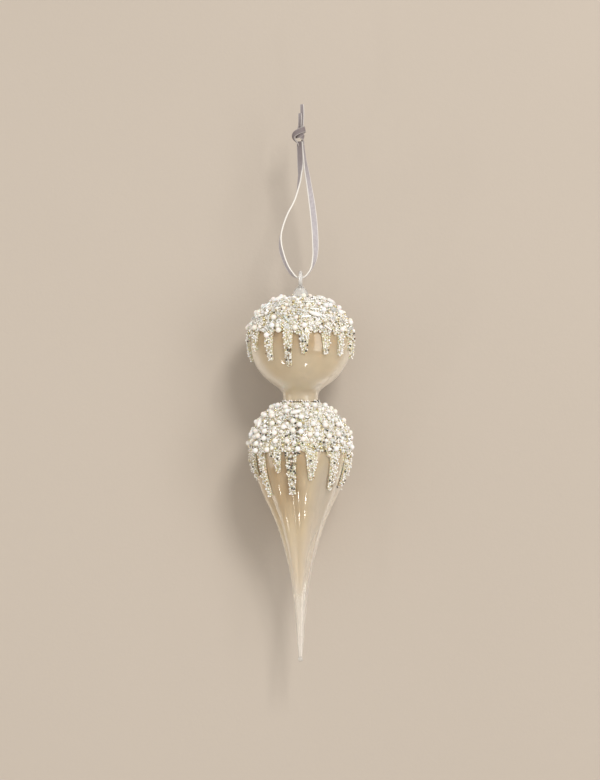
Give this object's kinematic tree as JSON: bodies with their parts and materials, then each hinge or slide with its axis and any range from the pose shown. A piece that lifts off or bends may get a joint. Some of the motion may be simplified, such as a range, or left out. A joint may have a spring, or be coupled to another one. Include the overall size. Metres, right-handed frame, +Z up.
{
  "type": "icicle hanging ornament",
  "caption": "Blown-glass double-bulb icicle drop with a frost of pearls and beads on each bulb and long drips, hung by a glass ring from a knotted velvet ribbon loop.",
  "frame": {"origin": "centre of the ribbon's knot, where the ornament is hung up", "axes": "+Z up along the ornament's long axis; -Y is the front; +X to the right seen from the front, along the axis of the glass ring's hole"},
  "size_m": [0.0606, 0.0603, 0.3065],
  "materials": {
    "velvet_ribbon": "pale mauve-grey velvet",
    "clear_glass": "clear polished",
    "lustre_glass": "champagne pearl lustre, glossy",
    "clear_glue": "clear adhesive with fine glass grit",
    "pearl": "ivory pearl",
    "satin_white": "white satin",
    "silver_lined_glass": "silver-lined glass",
    "iridescent_foil": "iridescent foil",
    "crystal": "cut crystal",
    "pale_gold": "pale gold"
  },
  "bodies": {
    "knot": {"ribbon_knot": "velvet_ribbon", "ribbon_tail_left": "velvet_ribbon", "ribbon_tail_right": "velvet_ribbon"},
    "ribbon": {"ribbon_loop": "velvet_ribbon"},
    "ornament": {"hanging_ring": "clear_glass", "glass_crown": "clear_glass", "glass_body": "lustre_glass", "tip_drop": "clear_glass", "upper_glue_bed": "clear_glue", "lower_glue_bed": "clear_glue", "upper_large_pearls": "pearl", "upper_small_pearls": "pearl", "upper_rice_pearls": "satin_white", "upper_bugle_beads": "satin_white", "upper_seed_beads": "silver_lined_glass", "upper_sequins": "iridescent_foil", "upper_crystal_chips": "crystal", "upper_gold_beads": "pale_gold", "upper_drip_beads": "silver_lined_glass", "lower_large_pearls": "pearl", "lower_small_pearls": "pearl", "lower_rice_pearls": "satin_white", "lower_bugle_beads": "satin_white", "lower_seed_beads": "silver_lined_glass", "lower_sequins": "iridescent_foil", "lower_crystal_chips": "crystal", "lower_gold_beads": "pale_gold", "lower_drip_beads": "silver_lined_glass"}
  },
  "joints": [
    {"name": "loop_swing", "type": "hinge", "parent": "knot", "child": "ribbon", "pos_m": [0, 0, 0], "axis": [1, 0, 0], "range_deg": [-75, 75]},
    {"name": "ornament_sway", "type": "hinge", "parent": "ribbon", "child": "ornament", "pos_m": [0, 0, -0.0765], "axis": [0, 1, 0], "range_deg": [-65, 65]}
  ]
}
